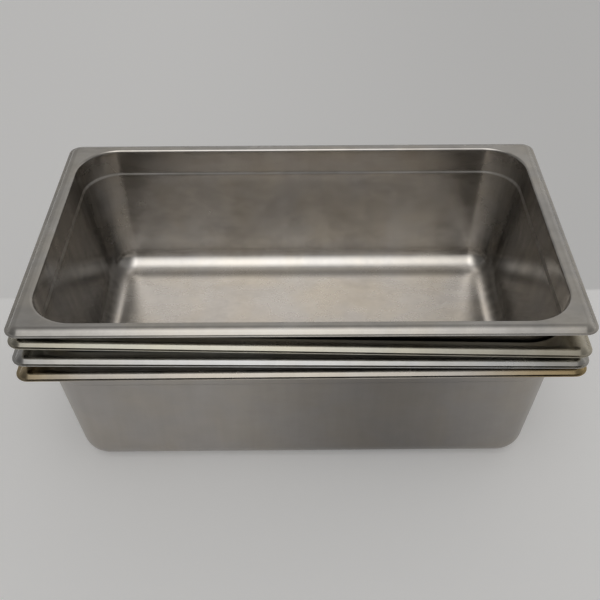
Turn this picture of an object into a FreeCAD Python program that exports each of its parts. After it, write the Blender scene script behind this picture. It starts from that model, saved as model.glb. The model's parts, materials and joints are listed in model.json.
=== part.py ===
"""Four full-size food pans, nested in a stack.

Each pan is one piece of sheet steel: a deep drawn bowl, a flat flange round its opening, and a rim that
slopes down from the flange and ends in a narrow level lip. The pans are alike. Each stands a little askew in
the one below it, as far as the tapered walls allow, and lifts straight out of it.

Millimetres, +Z up, X along the length of the pans. The origin is under the middle of the bottom pan's floor.
"""

import FreeCAD
import Part

import math
import os

from FreeCAD import Placement, Rotation, Vector

# Outline of a full-size pan, over the lip
PAN_LENGTH = 530.0
PAN_WIDTH = 325.0
PAN_DEPTH = 152.0
LIP_CORNER_RADIUS = 13.5
SHEET = 0.7

# Rim: the flange's outer part, the bend down to the slope, and the level lip at the foot of the slope
RIM_HEIGHT = 4.8
RIM_SLOPE = 42.0
RIM_BEND_RADIUS = 3.0
LIP_WIDTH = 2.2
LIP_BEND_RADIUS = 0.6
RIM_INNER_RADIUS = 4.0

# Opening where the bowl's walls would meet the flange, and the rounded edge between the two
OPENING_LENGTH = 497.0
OPENING_WIDTH = 293.0
OPENING_CORNER_RADIUS = 43.0
OPENING_EDGE_RADIUS = 3.0

# Bowl: an upper band down to the stacking shoulder, then the tapered walls and the floor
BAND_DEPTH = 28.0
BAND_DRAFT = 5.5
SHOULDER_DEPTH = 3.0
SHOULDER_STEP = 1.3
END_TAPER = 8.4
SIDE_TAPER = 4.6
FLOOR_CORNER_RADIUS = 26.0
FLOOR_EDGE_RADIUS = 24.0

# How each pan sits in the one below it: the rise of its flange, its slip along X and its tilt in degrees
NESTING = {
    "bottom_pan": (0.0, 0.0, 0.0),
    "third_pan": (15.2, 0.45, 1.05),
    "second_pan": (17.3, 0.2, 0.9),
    "top_pan": (20.6, -0.7, -1.6),
}

# Corners of a rectangle, anticlockwise from above, as the signs of X and Y
CORNERS = [(1, 1), (-1, 1), (-1, -1), (1, -1)]
ORIGIN = Vector(0, 0, 0)
Y_AXIS = Vector(0, 1, 0)
Z_AXIS = Vector(0, 0, 1)
TOLERANCE = 0.01


def slope(degrees):
    """Sideways movement per unit of depth of a face leaning this many degrees from upright."""
    return math.tan(math.radians(degrees))


def next_side(quarter, half_length, half_width):
    """Run of the straight side that follows a corner, between corner axes this far from the middle."""
    side_x, side_y = CORNERS[quarter]
    if quarter % 2 == 0:
        return Vector(-2 * side_x * half_length, 0, 0)
    return Vector(0, -2 * side_y * half_width, 0)


def round_rectangle(half_length, half_width, radius, z):
    """Closed wire of a rectangle with round corners, level at z."""
    axis_x = half_length - radius
    axis_y = half_width - radius
    edges = []
    for quarter, (side_x, side_y) in enumerate(CORNERS):
        circle = Part.Circle(Vector(side_x * axis_x, side_y * axis_y, z), Z_AXIS, radius)
        start = quarter * math.pi / 2
        corner = Part.Arc(circle, start, start + math.pi / 2).toShape()
        corner_end = corner.valueAt(corner.LastParameter)
        edges.append(corner)
        edges.append(Part.makeLine(corner_end, corner_end + next_side(quarter, axis_x, axis_y)))
    return Part.Wire(edges)


def slab(inset, corner_radius, bottom, top):
    """Level slab with the outline of the pan, moved in by inset."""
    outline = round_rectangle(PAN_LENGTH / 2 - inset, PAN_WIDTH / 2 - inset, corner_radius, bottom)
    return Part.Face(outline).extrude(Vector(0, 0, top - bottom))


def bowl_form(floor_depth, grow):
    """Solid with the shape of the bowl, from the flange plane down, its walls moved out by grow."""
    shoulder_bottom = BAND_DEPTH + SHOULDER_DEPTH
    wall_height = floor_depth - shoulder_bottom
    band_inset = BAND_DEPTH * slope(BAND_DRAFT)
    wall_inset = band_inset + SHOULDER_STEP
    end_inset = wall_inset + wall_height * slope(END_TAPER)
    side_inset = wall_inset + wall_height * slope(SIDE_TAPER)

    def level(depth, inset_x, inset_y, radius):
        half_length = OPENING_LENGTH / 2 - inset_x + grow
        half_width = OPENING_WIDTH / 2 - inset_y + grow
        return round_rectangle(half_length, half_width, radius + grow, -depth)

    levels = [
        level(0.0, 0.0, 0.0, OPENING_CORNER_RADIUS),
        level(BAND_DEPTH, band_inset, band_inset, OPENING_CORNER_RADIUS - band_inset),
        level(shoulder_bottom, wall_inset, wall_inset, OPENING_CORNER_RADIUS - wall_inset),
        level(floor_depth, end_inset, side_inset, FLOOR_CORNER_RADIUS),
    ]
    return Part.makeLoft(levels, True, True)


def edges_at(shape, z, longest):
    """Edges that lie level at z and reach no further along X than half of longest."""
    found = []
    for edge in shape.Edges:
        box = edge.BoundBox
        level = abs(box.ZMin - z) < TOLERANCE and abs(box.ZMax - z) < TOLERANCE
        if level and box.XMax < longest / 2 and box.XMin > -longest / 2:
            found.append(edge)
    return found


def arc_points(centre_x, centre_z, radius, start, end):
    """First, middle and last point of an arc in the XZ plane, between two angles in degrees."""
    angles = [math.radians(angle) for angle in (start, (start + end) / 2, end)]
    return [Vector(centre_x + radius * math.cos(a), 0, centre_z + radius * math.sin(a)) for a in angles]


def face_through(steps):
    """Face bounded by steps in order, each one point or three points of an arc, joined by straight lines."""
    edges = []
    last = steps[-1][-1]
    for step in steps:
        edges.append(Part.makeLine(last, step[0]))
        if len(step) == 3:
            edges.append(Part.Arc(*step).toShape())
        last = step[-1]
    return Part.Face(Part.Wire(edges))


def rim_section():
    """Section of the rim in the XZ plane, with the corner axis of the pan's outline at X = 0."""
    lip_top = SHEET - RIM_HEIGHT
    lip_x = LIP_CORNER_RADIUS - LIP_WIDTH
    lip_z = lip_top + LIP_BEND_RADIUS

    # The slope touches both bends, which lie on opposite sides of it
    angle = math.radians(RIM_SLOPE)
    apart = RIM_BEND_RADIUS + LIP_BEND_RADIUS
    bend_x = lip_x - (apart - (lip_z + RIM_BEND_RADIUS) * math.cos(angle)) / math.sin(angle)
    bend_end = 90 - RIM_SLOPE
    lip_start = 270 - RIM_SLOPE
    return face_through([
        [Vector(RIM_INNER_RADIUS, 0, 0)],
        arc_points(bend_x, -RIM_BEND_RADIUS, RIM_BEND_RADIUS, 90, bend_end),
        arc_points(lip_x, lip_z, LIP_BEND_RADIUS, lip_start, 270),
        [Vector(LIP_CORNER_RADIUS, 0, lip_top)],
        [Vector(LIP_CORNER_RADIUS, 0, -RIM_HEIGHT)],
        arc_points(lip_x, lip_z, LIP_BEND_RADIUS + SHEET, 270, lip_start),
        arc_points(bend_x, -RIM_BEND_RADIUS, RIM_BEND_RADIUS - SHEET, bend_end, 90),
        [Vector(RIM_INNER_RADIUS, 0, -SHEET)],
    ])


def rim():
    """Sloped rim: its section turned about the four corner axes and carried along the four sides."""
    section = rim_section()
    axis_x = PAN_LENGTH / 2 - LIP_CORNER_RADIUS
    axis_y = PAN_WIDTH / 2 - LIP_CORNER_RADIUS
    pieces = []
    for quarter, (side_x, side_y) in enumerate(CORNERS):
        axis = Vector(side_x * axis_x, side_y * axis_y, 0)
        start = section.copy()
        start.rotate(ORIGIN, Z_AXIS, 90 * quarter)
        start.translate(axis)
        end = start.copy()
        end.rotate(axis, Z_AXIS, 90)
        pieces.append(start.revolve(axis, Z_AXIS, 90))
        pieces.append(end.extrude(next_side(quarter, axis_x, axis_y)))
    return pieces[0].fuse(pieces[1:])


def pan():
    """One pan, with the top of its flange at z = 0 and the middle of its opening at the origin."""
    flange_inset = LIP_CORNER_RADIUS - RIM_INNER_RADIUS
    floor_depth = PAN_DEPTH - SHEET

    outside = slab(flange_inset, RIM_INNER_RADIUS, -SHEET, 0.0).fuse(bowl_form(PAN_DEPTH, SHEET))
    outside = outside.makeFillet(FLOOR_EDGE_RADIUS + SHEET, edges_at(outside, -PAN_DEPTH, PAN_LENGTH))
    under_flange = edges_at(outside, -SHEET, OPENING_LENGTH + 3 * SHEET)
    outside = outside.makeFillet(OPENING_EDGE_RADIUS - SHEET, under_flange)

    # The hollow spreads out over the flange plane, so that its fillet rounds the edge of the opening
    hollow = bowl_form(floor_depth, 0.0)
    hollow = hollow.makeFillet(FLOOR_EDGE_RADIUS, edges_at(hollow, -floor_depth, PAN_LENGTH))
    hollow = hollow.fuse(slab(flange_inset, RIM_INNER_RADIUS, 0.0, RIM_HEIGHT))
    hollow = hollow.makeFillet(OPENING_EDGE_RADIUS, edges_at(hollow, 0.0, OPENING_LENGTH + SHEET))

    return rim().fuse(outside).cut(hollow).removeSplitter().Solids[0]


def nest(shape):
    """Name and placed copy of the shape for each pan, from the bottom of the stack to the top."""
    placed = {}
    flange = Placement(Vector(0, 0, PAN_DEPTH), Rotation())
    for name, (rise, slip, tilt) in NESTING.items():
        flange = flange.multiply(Placement(Vector(slip, 0, rise), Rotation(Y_AXIS, tilt)))
        placed[name] = shape.copy()
        placed[name].transformShape(flange.toMatrix())
    return placed


def main():
    os.makedirs("parts", exist_ok=True)
    for name, shape in nest(pan()).items():
        print(name, shape.ShapeType, "valid" if shape.isValid() else "NOT VALID", round(shape.Volume), "mm3")
        shape.exportStep(f"parts/{name}.step")


main()
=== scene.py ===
"""Looks of the stack of food pans: four pans of satin steel on a pale table, under a broad soft light.

Lengths are in metres and angles in degrees. A pan's mesh is made of closed rings. Each ring is a rectangle with
round corners, and the rings follow one face of the sheet from the middle of the floor up to the rim, round the
lip, and down the other face. Every pan is placed by the flange of its own CAD node.
"""

import json
import math

import bmesh
import bpy
import numpy as np
from mathutils import Matrix, Vector, noise


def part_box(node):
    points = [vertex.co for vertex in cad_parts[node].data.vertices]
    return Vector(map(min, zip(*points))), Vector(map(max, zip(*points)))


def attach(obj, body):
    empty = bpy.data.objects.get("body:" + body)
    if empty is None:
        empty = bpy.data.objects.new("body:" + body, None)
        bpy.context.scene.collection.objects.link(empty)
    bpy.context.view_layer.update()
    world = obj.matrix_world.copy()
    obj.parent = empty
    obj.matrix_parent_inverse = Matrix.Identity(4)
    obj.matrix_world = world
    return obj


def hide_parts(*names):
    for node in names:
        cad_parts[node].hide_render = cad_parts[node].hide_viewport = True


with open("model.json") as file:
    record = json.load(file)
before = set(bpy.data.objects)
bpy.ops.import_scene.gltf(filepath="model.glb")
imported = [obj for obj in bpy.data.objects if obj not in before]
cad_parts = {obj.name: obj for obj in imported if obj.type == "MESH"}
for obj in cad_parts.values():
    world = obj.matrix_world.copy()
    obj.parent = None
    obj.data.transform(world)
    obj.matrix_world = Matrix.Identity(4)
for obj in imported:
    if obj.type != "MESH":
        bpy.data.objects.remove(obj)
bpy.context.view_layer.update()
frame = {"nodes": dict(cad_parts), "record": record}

MM = 0.001

# Outline and depth of a pan, as the CAD has them
low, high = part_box("bottom_pan")
PAN_LENGTH, PAN_WIDTH, PAN_DEPTH = high - low
LIP_CORNER_RADIUS = 13.5 * MM
SHEET = 0.7 * MM

# Rim: the flange's outer part, the bend down to the slope, which is softer here than in the CAD, and the level lip
# at the foot of the slope
RIM_HEIGHT = 4.8 * MM
RIM_SLOPE = 42.0
RIM_BEND_RADIUS = 9.0 * MM
LIP_WIDTH = 2.2 * MM
LIP_BEND_RADIUS = 0.6 * MM
LIP_EDGE_BREAK = 0.15 * MM

# Opening where the bowl's walls would meet the flange, and the rounded edge between the two
OPENING_LENGTH = 497.0 * MM
OPENING_WIDTH = 293.0 * MM
OPENING_CORNER_RADIUS = 43.0 * MM
OPENING_EDGE_RADIUS = 3.0 * MM

# Bowl: an upper band down to the stacking shoulder, then the tapered walls and the floor
BAND_DEPTH = 28.0 * MM
BAND_DRAFT = 5.5
SHOULDER_DEPTH = 2.3 * MM
SHOULDER_STEP = 1.3 * MM
SHOULDER_EASE = 0.9 * MM
END_TAPER = 8.4
SIDE_TAPER = 4.6
FLOOR_CORNER_RADIUS = 26.0 * MM
FLOOR_EDGE_RADIUS = 24.0 * MM

# How far the drawn sheet strays from the true form, the wavelength of that unevenness, how many times finer its
# second layer is and that layer's share, and the contrast of the whole
FLOOR_SWELL = 0.45 * MM
WALL_SWELL = 0.22 * MM
BAND_SWELL = 0.03 * MM
RIM_SWELL = 0.12 * MM
SWELL_LENGTH = 0.11
FINER_SWELL = 2.3
FINER_SHARE = 0.35
SWELL_CONTRAST = 0.6

# Painted shade in the crease along the sides of the floor: where it sets in, as a share of the way out, and where it
# thins out and ends up the rounded edge, as shares of its arc
CREASE_START = 0.88
CREASE_THINS = 0.12
CREASE_END = 0.38

# Where rings lie, as shares of the way: over the floor from its middle out, and over the flange. The rings about the
# middle of the floor are nearly as round as they can be.
FLOOR_STEPS = (*np.linspace(0, 0.7, 9), *np.linspace(0.75, 1, 8))
FLANGE_STEPS = (0.04, 0.2, 0.4, 0.6, 0.8, 0.96)
MIDDLE_ROUNDNESS = 0.9

# Points round a ring: per corner, per long side and per short side
CORNER_STEPS = 16
LONG_STEPS = 84
SHORT_STEPS = 46

# Finish values carried by the mesh: worn floor, the crease round it for painted shade, the shoulder, worn and with a
# painted highlight, rim and flange, the part of the rim past the flange, end walls for painted shade, the corners
# where the sheet was drawn most, rougher and with a little painted shade, and the outside of the sheet
FINISHES = ("worn", "crease", "rubbed_highlight", "rim", "edge", "ends", "corners", "outside")

# Places in a ring: its outward swell, and its first finish value, which follows its shape
SWELL_COLUMN = 5
FINISH_COLUMN = 7

# Corners of a rectangle, anticlockwise from above, as the signs of X and Y
CORNERS = [(1, 1), (-1, 1), (-1, -1), (1, -1)]

# Camera: where it stands, how it is turned, and the lens for a 36 mm sensor
CAMERA_PLACE = Vector((0.0089, -0.7476, 0.7409))
CAMERA_PITCH = 40.39
CAMERA_YAW = -0.79
CAMERA_ROLL = 1.09
CAMERA_LENS = 54.20
SENSOR_WIDTH = 36.0


# ---- Rings of a pan

def slope(degrees):
    """Sideways movement per unit of depth of a face leaning this many degrees from upright."""
    return math.tan(math.radians(degrees))


def ring(half_length, half_width, radius, z_end, z_side, out=0.0, up=0.0, **finish):
    """A ring's half sizes, corner radius and height at the ends and sides, its swell, and its finish."""
    values = [finish.get(name, 0.0) for name in FINISHES]
    return np.array([half_length, half_width, radius, z_end, z_side, out, up, *values])


def finish_column(name):
    """Place of a finish value in a ring."""
    return FINISH_COLUMN + FINISHES.index(name)


def rim_ring(inset, z):
    """Ring of the rim, this far in from the lip's outline."""
    half_length = PAN_LENGTH / 2 - inset
    half_width = PAN_WIDTH / 2 - inset
    return ring(half_length, half_width, LIP_CORNER_RADIUS - inset, z, z, up=-RIM_SWELL, rim=1.0, edge=1.0)


def angles(start, end, count):
    """Angles in radians, evenly spaced between two angles in degrees."""
    return np.radians(np.linspace(start, end, count))


def arc(inset, z, radius, start, end, count):
    """Rings along an arc of the rim's section, between two angles in degrees from straight outwards."""
    return [rim_ring(inset - radius * math.cos(a), z + radius * math.sin(a)) for a in angles(start, end, count)]


def rim_rings():
    """Rings round the rim: over the bend, down the slope, out round the lip, and back up underneath."""
    lip_top = SHEET - RIM_HEIGHT
    lip_z = lip_top + LIP_BEND_RADIUS

    # The slope touches both bends, which lie on opposite sides of it
    angle = math.radians(RIM_SLOPE)
    apart = RIM_BEND_RADIUS + LIP_BEND_RADIUS
    bend_inset = LIP_WIDTH + (apart - (lip_z + RIM_BEND_RADIUS) * math.cos(angle)) / math.sin(angle)
    bend_end = 90 - RIM_SLOPE
    lip_start = 270 - RIM_SLOPE

    bend = arc(bend_inset, -RIM_BEND_RADIUS, RIM_BEND_RADIUS, 90, bend_end, 8)
    lip = arc(LIP_WIDTH, lip_z, LIP_BEND_RADIUS, lip_start, 270, 5)
    edge = [
        rim_ring(LIP_EDGE_BREAK, lip_top),
        rim_ring(0.0, lip_top - LIP_EDGE_BREAK),
        rim_ring(0.0, LIP_EDGE_BREAK - RIM_HEIGHT),
        rim_ring(LIP_EDGE_BREAK, -RIM_HEIGHT),
    ]
    under_lip = arc(LIP_WIDTH, lip_z, LIP_BEND_RADIUS + SHEET, 270, lip_start, 5)
    under_bend = arc(bend_inset, -RIM_BEND_RADIUS, RIM_BEND_RADIUS - SHEET, bend_end, 90, 7)
    top = bend + between(bend[-1], lip[0], 5) + lip
    return top + edge + under_lip + between(under_lip[-1], under_bend[0], 2) + under_bend


def softened(before, corner, after, count=5):
    """Rings that round off the crease at a corner of the wall's profile."""
    down = corner + (before - corner) * SHOULDER_EASE / abs(before[3] - corner[3])
    above = corner + (after - corner) * SHOULDER_EASE / abs(after[3] - corner[3])
    rings = []
    for t in np.linspace(0, 1, count):
        rings.append((1 - t) ** 2 * down + 2 * t * (1 - t) * corner + t ** 2 * above)
    return rings


def ease(t):
    """Share t held between 0 and 1 and eased at both ends."""
    t = min(max(t, 0.0), 1.0)
    return t * t * (3 - 2 * t)


def between(start, end, count):
    """Rings spaced evenly from start to end, both left out."""
    return [start + (end - start) * t for t in np.linspace(0, 1, count + 2)[1:-1]]


def bowl_rings(grow):
    """Rings of one face of the bowl, from the middle of the floor to the flange; grow is SHEET outside."""
    depth = PAN_DEPTH - SHEET + grow
    inside = 1.0 if grow == 0.0 else 0.0
    shoulder_bottom = BAND_DEPTH + SHOULDER_DEPTH
    band_inset = BAND_DEPTH * slope(BAND_DRAFT)
    wall_inset = band_inset + SHOULDER_STEP

    # Where the walls would meet the floor, and the flat that the rounded floor edge leaves
    foot_length = OPENING_LENGTH / 2 - wall_inset - (depth - shoulder_bottom) * slope(END_TAPER) + grow
    foot_width = OPENING_WIDTH / 2 - wall_inset - (depth - shoulder_bottom) * slope(SIDE_TAPER) + grow
    edge = FLOOR_EDGE_RADIUS + grow
    flat_length = foot_length - edge * slope((90 - END_TAPER) / 2)
    flat_width = foot_width - edge * slope((90 - SIDE_TAPER) / 2)

    # Corner radius at the top of the rounded floor edge, part of the way from foot to shoulder
    mean_taper = math.radians((END_TAPER + SIDE_TAPER) / 2)
    share = edge * (1 - math.sin(mean_taper)) / (depth - shoulder_bottom)
    wall_radius = OPENING_CORNER_RADIUS - wall_inset + grow
    edge_corner = FLOOR_CORNER_RADIUS + grow + (wall_radius - FLOOR_CORNER_RADIUS - grow) * share
    flat_corner = edge_corner - edge * math.cos(mean_taper)

    rings = []
    for t in FLOOR_STEPS:
        half_width = flat_width * t
        half_length = flat_length - flat_width + half_width
        radius = flat_corner * t ** 3 + half_width * (1 - t) * MIDDLE_ROUNDNESS
        swell = FLOOR_SWELL * (1 - t * t)
        # Painted shade in the crease, near the edge of the floor
        crease = inside * ease((t - CREASE_START) / (1 - CREASE_START))
        rings.append(ring(half_length, half_width, radius, -depth, -depth, up=swell, worn=inside, crease=crease))

    # Up the rounded edge the wear fades in the first third, the painted shade of the crease thins out and ends, and
    # the painted shade of the end walls sets in from a tenth to six tenths
    for t in np.linspace(0, 1, 11)[1:]:
        end = math.radians((90 - END_TAPER) * t)
        side = math.radians((90 - SIDE_TAPER) * t)
        rings.append(ring(
            flat_length + edge * math.sin(end),
            flat_width + edge * math.sin(side),
            flat_corner + edge * math.sin((end + side) / 2),
            edge * (1 - math.cos(end)) - depth,
            edge * (1 - math.cos(side)) - depth,
            worn=inside * max(0.0, 1 - 3 * t),
            crease=inside * ease((CREASE_END - t) / (CREASE_END - CREASE_THINS)),
            ends=inside * ease(2 * t - 0.2),
        ))

    wall_top = ring(
        OPENING_LENGTH / 2 - wall_inset + grow,
        OPENING_WIDTH / 2 - wall_inset + grow,
        wall_radius,
        -shoulder_bottom,
        -shoulder_bottom,
        out=BAND_SWELL,
        ends=inside,
        corners=inside,
    )
    wall_foot = rings[-1]
    for t in np.linspace(0, 1, 12)[1:-1]:
        middle = wall_foot + (wall_top - wall_foot) * t
        middle[SWELL_COLUMN] = max(BAND_SWELL * t, WALL_SWELL * math.sin(math.pi * t) ** 2)
        rings.append(middle)
    band_foot = ring(
        OPENING_LENGTH / 2 - band_inset + grow,
        OPENING_WIDTH / 2 - band_inset + grow,
        OPENING_CORNER_RADIUS - band_inset + grow,
        -BAND_DEPTH,
        -BAND_DEPTH,
        out=BAND_SWELL,
        ends=inside,
        corners=inside,
    )

    # The rounded edge of the opening has one centre for both faces of the sheet
    edge_reach = OPENING_EDGE_RADIUS * slope((90 - BAND_DRAFT) / 2)
    edge_radius = OPENING_EDGE_RADIUS - grow
    opening = []
    for a in angles(BAND_DRAFT, 90, 9):
        reach = edge_reach - edge_radius * math.cos(a)
        z = edge_radius * math.sin(a) - OPENING_EDGE_RADIUS
        opening.append(ring(
            OPENING_LENGTH / 2 + reach,
            OPENING_WIDTH / 2 + reach,
            OPENING_CORNER_RADIUS + reach,
            z,
            z,
            up=-RIM_SWELL * math.sin(a) ** 2,
            rim=math.sin(a) ** 2,
            ends=inside * math.cos(a) ** 2,
        ))
    shoulder = softened(rings[-1], wall_top, band_foot) + softened(wall_top, band_foot, opening[0])
    # The shoulder's rings carry wear and a painted highlight
    for rubbed_highlight in shoulder[1:-1]:
        rubbed_highlight[finish_column("rubbed_highlight")] = inside
    return rings + shoulder + between(band_foot, opening[0], 4) + opening


def flange_rings(inner, outer):
    """Rings of the flat flange between the opening's edge and the bend, closer together near both."""
    rings = [inner + (outer - inner) * t for t in FLANGE_STEPS]
    for flat in rings:
        flat[finish_column("edge")] = 0.0
    return rings


def pan_rings():
    """Rings of a whole pan, from the middle of the floor inside to the middle of the floor outside."""
    inside = bowl_rings(0.0)
    outside = bowl_rings(SHEET)[::-1]
    rim = rim_rings()
    top = flange_rings(inside[-1], rim[0])
    under = flange_rings(rim[-1], outside[0])
    return np.array(inside + top + rim + under + outside), len(inside + top + rim)


# ---- Mesh of a pan

def round_template():
    """For each point round a ring: its corner axis as shares of the half sizes, and its outward direction."""
    points = []
    for quarter, (side_x, side_y) in enumerate(CORNERS):
        next_x, next_y = CORNERS[(quarter + 1) % 4]
        for a in angles(90 * quarter, 90 * quarter + 90, CORNER_STEPS + 1)[:-1]:
            points.append((side_x, side_y, math.cos(a), math.sin(a)))
        turned = math.radians(90 * quarter + 90)
        steps = SHORT_STEPS if quarter % 2 else LONG_STEPS
        for t in np.arange(steps) / steps:
            axis_x = side_x + (next_x - side_x) * t
            axis_y = side_y + (next_y - side_y) * t
            points.append((axis_x, axis_y, math.cos(turned), math.sin(turned)))
    return np.array(points).T


def unevenness(points, offset):
    """Smooth noise from 0 to 1 at each point, moved by an offset that picks the pattern."""
    values = []
    for point in points.reshape(-1, 3):
        place = Vector(point) / SWELL_LENGTH + offset
        value = noise.noise(place) + FINER_SHARE * noise.noise(place * FINER_SWELL)
        values.append(min(max(0.5 + SWELL_CONTRAST * value, 0.0), 1.0))
    return np.array(values).reshape(points.shape[:-1])


def pan_mesh(name, placement, offset):
    """Mesh of one pan, with its own pattern of unevenness, placed by the matrix of its flange."""
    rings, first_outside = pan_rings()
    axis_x, axis_y, out_x, out_y = round_template()
    half_length, half_width, radius, z_end, z_side, out, up = [column[:, None] for column in rings.T[:FINISH_COLUMN]]

    points = np.empty((len(rings), len(axis_x), 3))
    points[..., 0] = axis_x * (half_length - radius) + out_x * radius
    points[..., 1] = axis_y * (half_width - radius) + out_y * radius
    points[..., 2] = z_end * out_x ** 2 + z_side * out_y ** 2
    swell = out * unevenness(points, Vector((0, 0, 0)))
    lift = up * unevenness(points, offset)
    points[..., 0] += swell * out_x
    points[..., 1] += swell * out_y
    points[..., 2] += lift

    count = len(axis_x)
    faces = []
    for row in range(len(rings) - 1):
        for column in range(count):
            after = (column + 1) % count
            start = row * count
            faces.append((start + column, start + count + column, start + count + after, start + after))

    mesh = bpy.data.meshes.new(name)
    mesh.from_pydata(points.reshape(-1, 3).tolist(), [], faces)
    rings[first_outside:, finish_column("outside")] = 1.0
    # The end walls' painted shade and the shoulder's painted highlight hold on the ends, the corners' painted shade
    # in the corners, and the crease's painted shade on the long sides
    round_shares = {
        "ends": out_x ** 2,
        "rubbed_highlight": out_x ** 2,
        "corners": np.sqrt(np.abs(2 * out_x * out_y)),
        "crease": out_y ** 2,
    }
    for label, values in zip(FINISHES, rings.T[FINISH_COLUMN:]):
        attribute = mesh.attributes.new(label, "FLOAT", "POINT")
        shares = round_shares.get(label, np.ones(count))
        attribute.data.foreach_set("value", np.outer(values, shares).ravel())

    # The innermost ring of each face lies on a line, so its two sides are joined
    welded = bmesh.new()
    welded.from_mesh(mesh)
    welded.verts.ensure_lookup_table()
    ends = list(range(count)) + list(range(len(rings) * count - count, len(rings) * count))
    bmesh.ops.remove_doubles(welded, verts=[welded.verts[i] for i in ends], dist=1e-6)
    welded.to_mesh(mesh)
    welded.free()
    mesh.transform(placement)
    mesh.shade_smooth()
    return mesh


def flange_placement(node):
    """Matrix of a pan's flange plane, from the CAD node's own points: the middle of its opening, and its tilt."""
    points = np.array([v.co for v in frame["nodes"][node].data.vertices])
    low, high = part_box(node)
    left = points[points[:, 0] < low.x / 2]
    right = points[points[:, 0] > high.x / 2]
    left = left[left[:, 2].argmax()]
    right = right[right[:, 2].argmax()]
    tilt = math.atan2(left[2] - right[2], right[0] - left[0])
    lip_depth = RIM_HEIGHT - SHEET / 2
    x = (low.x + high.x) / 2 + lip_depth * math.sin(tilt)
    z = left[2] - (x - left[0]) * math.tan(tilt)
    return Matrix.Translation((x, 0, z)) @ Matrix.Rotation(tilt, 4, "Y")


# ---- Materials

# Where along X the heat colour sets in at the left and the right of a rim, the range of the patches that thin it out,
# and its least strength there
HEAT_LEFT = (-0.19, -0.26)
HEAT_RIGHT = (0.14, 0.25)
HEAT_PATCHES = (0.2, 0.6)
HEAT_LEAST = 0.6

# Shade of the steel where each finish is full. Crease, ends and corners are painted shade, under is painted shade on
# the underside of the flange and rim, which darkens the gaps between the stacked rims, and the shoulder's shade is a
# painted highlight on its wear
SHADES = {
    "worn": 0.885,
    # painted shade in the crease of the floor
    "crease": 0.34,
    # wear on the shoulder, with a painted highlight that lightens it
    "rubbed_highlight": 1.4,
    "edge": 0.92,
    # painted shade on the end walls
    "ends": 0.51,
    # a little painted shade in the corners
    "corners": 0.98,
    "outside": 0.66,
    # painted shade under the flange and rim
    "under": 0.38,
}

# Roughness of the plain steel, and what each finish adds to it where it is full
ROUGHNESS = 0.22
ROUGHER = {"worn": 0.04, "outside": 0.10, "edge": 0.02, "rubbed_highlight": 0.15, "corners": 0.14}

# Noise over the steel, in cycles per metre: broad patches, mottle, tints, drawing streaks and the finest grain
PATCH_SCALE = 9.0
MOTTLE_SCALE = 60.0
TINT_SCALE = 16.0
STREAK_SCALE = 110.0
GRAIN_SCALE = 420.0

# Stretch of the noise: mottle along the pan, streaks and grain down the walls
MOTTLE_STRETCH = (0.6, 1.0, 1.0)
DRAWN_STRETCH = (1.0, 1.0, 0.07)

# Range of the noise that counts, and how much of the patches and mottle the outside loses
NOISE_RANGE = (0.3, 0.7)
OUTSIDE_LOSS = 0.6

# Mean shade of the steel, how far patches, mottle and streaks move it, and what the end walls add to the streaks
MEAN_SHADE = 0.98
PATCH_SHADE = 0.08
MOTTLE_SHADE = 0.07
STREAK_SHADE = 0.02
END_STREAK_SHADE = 0.16

# How far patches and mottle each move the roughness, and the bump that the grain gives
UNEVEN_ROUGHNESS = 0.03
GRAIN_STRENGTH = 0.03
GRAIN_HEIGHT = 0.4 * MM

# Faint heat and grease tints that come and go over the steel, and the range of the noise that leads from one to the
# other
COOL = (0.99, 1.0, 1.018, 1.0)
WARM = (1.012, 1.0, 0.972, 1.0)
TINT_RANGE = (0.35, 0.65)

# Painted dark reflection on the outside, right of the middle: its middle and half width along X, and its shade
DARK_REFLECTION_PLACE = 0.085
DARK_REFLECTION_REACH = 0.19
DARK_REFLECTION_SHADE = 0.55


def add(tree, kind, inputs=None, **settings):
    """New shader node with its settings, and its inputs set or linked."""
    node = tree.nodes.new("ShaderNode" + kind)
    for key, value in settings.items():
        setattr(node, key, value)
    for key, value in (inputs or {}).items():
        if isinstance(value, bpy.types.NodeSocket):
            tree.links.new(value, node.inputs[key])
        else:
            node.inputs[key].default_value = value
    return node


def mixed(tree, factor, first, second, blend="MIX"):
    """Colour between two colours."""
    mix = add(tree, "Mix", data_type="RGBA", blend_type=blend)
    for index, value in ((0, factor), (6, first), (7, second)):
        if isinstance(value, bpy.types.NodeSocket):
            tree.links.new(value, mix.inputs[index])
        else:
            mix.inputs[index].default_value = value
    return mix.outputs[2]


def span(tree, value, low, high, to_low=0.0, to_high=1.0):
    """Value eased from one range to another, and held at the ends."""
    inputs = {"Value": value, "From Min": low, "From Max": high, "To Min": to_low, "To Max": to_high}
    return add(tree, "MapRange", inputs, interpolation_type="SMOOTHSTEP").outputs["Result"]


def maths(tree, operation, first, second=0.0, third=0.0):
    """Result of a sum on one to three numbers or sockets."""
    return add(tree, "Math", {0: first, 1: second, 2: third}, operation=operation).outputs[0]


def clouds(tree, place, scale, detail=3.0, roughness=0.55, distortion=0.0):
    """Noise value about 0.5."""
    inputs = {
        "Vector": place,
        "Scale": scale,
        "Detail": detail,
        "Roughness": roughness,
        "Distortion": distortion,
    }
    return add(tree, "TexNoise", inputs).outputs["Fac"]


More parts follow.
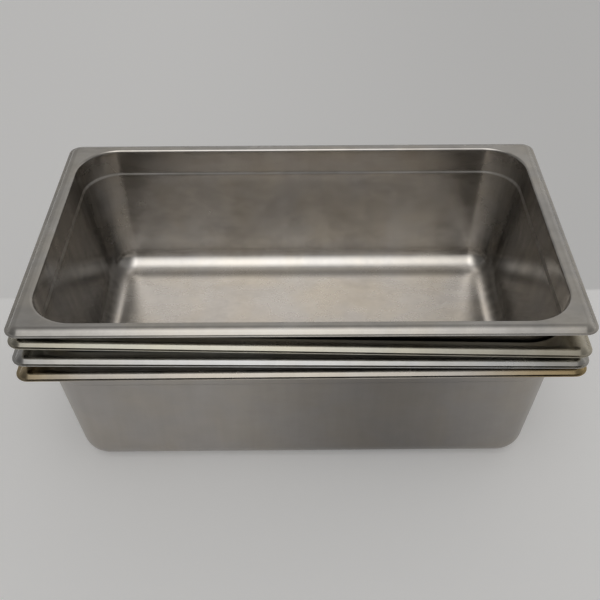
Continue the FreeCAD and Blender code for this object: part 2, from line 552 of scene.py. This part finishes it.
def steel(name, tints, offset):
    """Satin steel: clouded and mottled, streaked down the end walls and darker outside, with painted shade in the
    crease of the floor, on the end walls, in the corners and under the rims, a painted highlight on the worn
    shoulder, and a painted dark reflection on the outside.

    The tints are those of the bowl, of the rim, and of the two ends of the rim, where heat has coloured it.
    """
    material = bpy.data.materials.new(name)
    material.use_nodes = True
    tree = material.node_tree
    shader = tree.nodes["Principled BSDF"]
    shader.inputs["Metallic"].default_value = 1.0

    coordinates = add(tree, "TexCoord").outputs["Object"]
    place = add(tree, "VectorMath", {0: coordinates, 1: offset}, operation="ADD").outputs[0]
    along = add(tree, "SeparateXYZ", {0: coordinates}).outputs[0]
    finish = {label: add(tree, "Attribute", attribute_name=label).outputs["Fac"] for label in FINISHES}

    patches = clouds(tree, place, PATCH_SCALE)
    brushed = add(tree, "Mapping", {"Vector": place, "Scale": MOTTLE_STRETCH}).outputs[0]
    mottle = clouds(tree, brushed, MOTTLE_SCALE, detail=4.0, roughness=0.6)
    warmth = clouds(tree, place, TINT_SCALE, detail=4.0, distortion=0.4)
    drawn = add(tree, "Mapping", {"Vector": place, "Scale": DRAWN_STRETCH}).outputs[0]
    streaks = clouds(tree, drawn, STREAK_SCALE, detail=4.0, roughness=0.6)

    ends = maths(tree, "ADD", span(tree, along, *HEAT_LEFT), span(tree, along, *HEAT_RIGHT))
    ends = maths(tree, "MULTIPLY", ends, span(tree, patches, *HEAT_PATCHES, HEAT_LEAST))
    bowl_tint, rim_tint, end_tint = [(*tint, 1.0) for tint in tints]
    colour = mixed(tree, finish["rim"], bowl_tint, mixed(tree, ends, rim_tint, end_tint))
    hue = mixed(tree, span(tree, warmth, *TINT_RANGE), COOL, WARM)
    colour = mixed(tree, 1.0, colour, hue, "MULTIPLY")

    def either_way(noise_value, most):
        """Noise value taken to between -most and most."""
        return span(tree, noise_value, *NOISE_RANGE, -most, most)

    # The outside is more even than the bowl
    uneven = maths(tree, "MULTIPLY_ADD", finish["outside"], -OUTSIDE_LOSS, 1.0)
    value = maths(tree, "MULTIPLY_ADD", either_way(patches, PATCH_SHADE), uneven, MEAN_SHADE)
    value = maths(tree, "MULTIPLY_ADD", either_way(mottle, MOTTLE_SHADE), uneven, value)
    streaked = maths(tree, "MULTIPLY_ADD", finish["ends"], END_STREAK_SHADE, STREAK_SHADE)
    value = maths(tree, "MULTIPLY_ADD", either_way(streaks, 1.0), streaked, value)
    # Painted shade on the underside of the flange and rim, which darkens the gaps between the stacked rims
    finish["under"] = maths(tree, "MULTIPLY", finish["outside"], finish["rim"])
    for label, shade in SHADES.items():
        value = maths(tree, "MULTIPLY", value, maths(tree, "MULTIPLY_ADD", finish[label], shade - 1.0, 1.0))
    # Painted dark reflection on the outside, right of the middle
    aside = maths(tree, "ABSOLUTE", maths(tree, "SUBTRACT", along, DARK_REFLECTION_PLACE))
    dark_reflection = maths(tree, "MULTIPLY", span(tree, aside, 0.0, DARK_REFLECTION_REACH, 1.0, 0.0), finish["outside"])
    value = maths(tree, "MULTIPLY", value, maths(tree, "MULTIPLY_ADD", dark_reflection, DARK_REFLECTION_SHADE - 1.0, 1.0))
    grey = add(tree, "CombineColor", {0: value, 1: value, 2: value}).outputs[0]
    tree.links.new(mixed(tree, 1.0, colour, grey, "MULTIPLY"), shader.inputs["Base Color"])

    rough = maths(tree, "MULTIPLY_ADD", either_way(patches, UNEVEN_ROUGHNESS), uneven, ROUGHNESS)
    for label, more in ROUGHER.items():
        rough = maths(tree, "MULTIPLY_ADD", finish[label], more, rough)
    rough = maths(tree, "ADD", rough, either_way(mottle, UNEVEN_ROUGHNESS))
    tree.links.new(rough, shader.inputs["Roughness"])

    grain = clouds(tree, drawn, GRAIN_SCALE, detail=2.0)
    bump = add(tree, "Bump", {"Height": grain, "Strength": GRAIN_STRENGTH, "Distance": GRAIN_HEIGHT})
    tree.links.new(bump.outputs["Normal"], shader.inputs["Normal"])
    return material


# The table: its colour, the light of its own, its roughness, half its side, and how far it lies below the pans
TABLE_COLOUR = (0.93, 0.93, 0.93)
TABLE_GLOW = 0.17
TABLE_ROUGHNESS = 0.6
TABLE_REACH = 6.0
TABLE_DROP = 0.2 * MM

# Where the table ends and the wall behind it begins: its place along Y, how far it leans from X, and its softness
WALL_FOOT = 0.132
WALL_LEAN = 0.008
WALL_SOFTNESS = 0.006

# How much darker the wall is than the table, at the left and at the right of these places along X
WALL_SIDES = (-0.35, 0.5)
WALL_DARKER = (0.12, 0.24)


def matt(name, colour, glow):
    """Plain pale surface for the table, darker where the wall begins, with a little light of its own."""
    material = bpy.data.materials.new(name)
    material.use_nodes = True
    tree = material.node_tree
    shader = tree.nodes["Principled BSDF"]
    x, y, _ = add(tree, "SeparateXYZ", {0: add(tree, "TexCoord").outputs["Object"]}).outputs
    past = maths(tree, "MULTIPLY_ADD", x, -WALL_LEAN, maths(tree, "SUBTRACT", y, WALL_FOOT))
    darker = maths(tree, "MULTIPLY", span(tree, past, 0.0, WALL_SOFTNESS), span(tree, x, *WALL_SIDES, *WALL_DARKER))
    shown = mixed(tree, darker, (*colour, 1.0), (0.0, 0.0, 0.0, 1.0))
    for socket in ("Base Color", "Emission Color"):
        tree.links.new(shown, shader.inputs[socket])
    shader.inputs["Roughness"].default_value = TABLE_ROUGHNESS
    shader.inputs["Emission Strength"].default_value = glow
    return material


# ---- The stack

# Colours of each pan's steel: its bowl, its rim, and the ends of its rim
TINTS = {
    "bottom_pan": ((0.66, 0.62, 0.58), (0.54, 0.505, 0.46), (0.50, 0.38, 0.20)),
    "third_pan": ((0.63, 0.63, 0.63), (0.59, 0.59, 0.59), (0.555, 0.545, 0.525)),
    "second_pan": ((0.64, 0.62, 0.56), (0.56, 0.54, 0.465), (0.58, 0.54, 0.45)),
    "top_pan": ((0.72, 0.69, 0.655), (0.60, 0.575, 0.54), (0.60, 0.575, 0.54)),
}

# How far the patterns of unevenness and colour move from one pan to the next
PATTERN_STEP = Vector((3.7, 1.3, 5.9))


def make_stack():
    """One piece for each pan, on the body of its CAD node."""
    record = frame["record"]
    slots = {part["node"]: part["material_slot"] for part in record["subparts"]}
    for index, (body, nodes) in enumerate(record["behaviour"]["bodies"].items()):
        for node in nodes:
            offset = PATTERN_STEP * (index + 1)
            mesh = pan_mesh(node + "_sheet", flange_placement(node), offset)
            pan = bpy.data.objects.new(node + "_sheet", mesh)
            bpy.context.scene.collection.objects.link(pan)
            mesh.materials.append(steel(slots[node], TINTS[node], offset))
            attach(pan, body)
            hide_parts(node)


# ---- Table, light and camera

def make_table():
    """Pale table top, much wider than the view."""
    mesh = bpy.data.meshes.new("table")
    corners = [(x * TABLE_REACH, y * TABLE_REACH, -TABLE_DROP) for x, y in CORNERS]
    mesh.from_pydata(corners, [], [(0, 1, 2, 3)])
    mesh.materials.append(matt("table", TABLE_COLOUR, TABLE_GLOW))
    table = bpy.data.objects.new("table", mesh)
    bpy.context.scene.collection.objects.link(table)


# Light from the room, by the angle from the horizon in front, up over the pans and down to the one behind
ROOM = [
    (0.0, 0.09),
    (20.0, 0.09),
    (45.0, 0.16),
    (90.0, 0.22),
    (115.0, 0.26),
    (138.0, 0.40),
    (180.0, 0.42),
]
ROOM_TINT = (1.0, 0.985, 0.96)

# Share of that light at the far left and the far right, and where along X each share eases off
ROOM_LEFT = 0.75
ROOM_LEFT_EASE = (-0.4, -0.1)
ROOM_RIGHT = 1.25
ROOM_RIGHT_EASE = (0.25, 0.85)

# The one soft light: where it rises and falls along the same angle, how far it spreads sideways, and its strength
LIGHT_RISE = (14.0, 60.0)
LIGHT_FALL = (64.0, 116.0)
LIGHT_SIDE = -0.04
LIGHT_SPREAD = 0.20
LIGHT_STRENGTH = 1.46


def make_light():
    """One soft light high in front of the pans, in a dim room with a paler wall behind them."""
    world = bpy.data.worlds.new("room")
    bpy.context.scene.world = world
    world.use_nodes = True
    tree = world.node_tree
    direction = add(tree, "SeparateXYZ", {0: add(tree, "TexCoord").outputs["Generated"]})
    x, y, z = direction.outputs
    angle = maths(tree, "ARCTAN2", z, maths(tree, "MULTIPLY", y, -1.0))
    degrees = maths(tree, "DEGREES", angle)
    ramp = add(tree, "ValToRGB", {"Fac": maths(tree, "DIVIDE", degrees, 180.0)})
    elements = ramp.color_ramp.elements
    for index, (place, level) in enumerate(ROOM):
        element = elements[index] if index < 2 else elements.new(place / 180)
        element.position = place / 180
        element.color = (level, level, level, 1.0)

    left = span(tree, x, *ROOM_LEFT_EASE, ROOM_LEFT)
    right = span(tree, x, *ROOM_RIGHT_EASE, 1.0, ROOM_RIGHT)
    room = maths(tree, "MULTIPLY", ramp.outputs["Color"], maths(tree, "MULTIPLY", left, right))

    glow = maths(tree, "MULTIPLY", span(tree, degrees, *LIGHT_RISE), span(tree, degrees, *LIGHT_FALL, 1.0, 0.0))
    aside = maths(tree, "DIVIDE", maths(tree, "SUBTRACT", x, LIGHT_SIDE), LIGHT_SPREAD)
    spread = maths(tree, "EXPONENT", maths(tree, "MULTIPLY", maths(tree, "MULTIPLY", aside, aside), -0.5))
    glow = maths(tree, "MULTIPLY", maths(tree, "MULTIPLY", glow, spread), LIGHT_STRENGTH)
    background = tree.nodes["Background"]
    background.inputs["Color"].default_value = (*ROOM_TINT, 1.0)
    tree.links.new(maths(tree, "ADD", glow, room), background.inputs["Strength"])


def make_camera():
    """Camera at the front, looking down into the stack."""
    data = bpy.data.cameras.new("camera")
    data.lens = CAMERA_LENS
    data.sensor_width = SENSOR_WIDTH
    camera = bpy.data.objects.new("camera", data)
    bpy.context.scene.collection.objects.link(camera)
    yaw = Matrix.Rotation(math.radians(-CAMERA_YAW), 4, "Z")
    pitch = Matrix.Rotation(math.radians(90 - CAMERA_PITCH), 4, "X")
    roll = Matrix.Rotation(math.radians(-CAMERA_ROLL), 4, "Z")
    camera.matrix_world = Matrix.Translation(CAMERA_PLACE) @ yaw @ pitch @ roll
    bpy.context.scene.camera = camera


make_stack()
make_table()
make_light()
make_camera()
bpy.context.scene.view_settings.view_transform = "Standard"
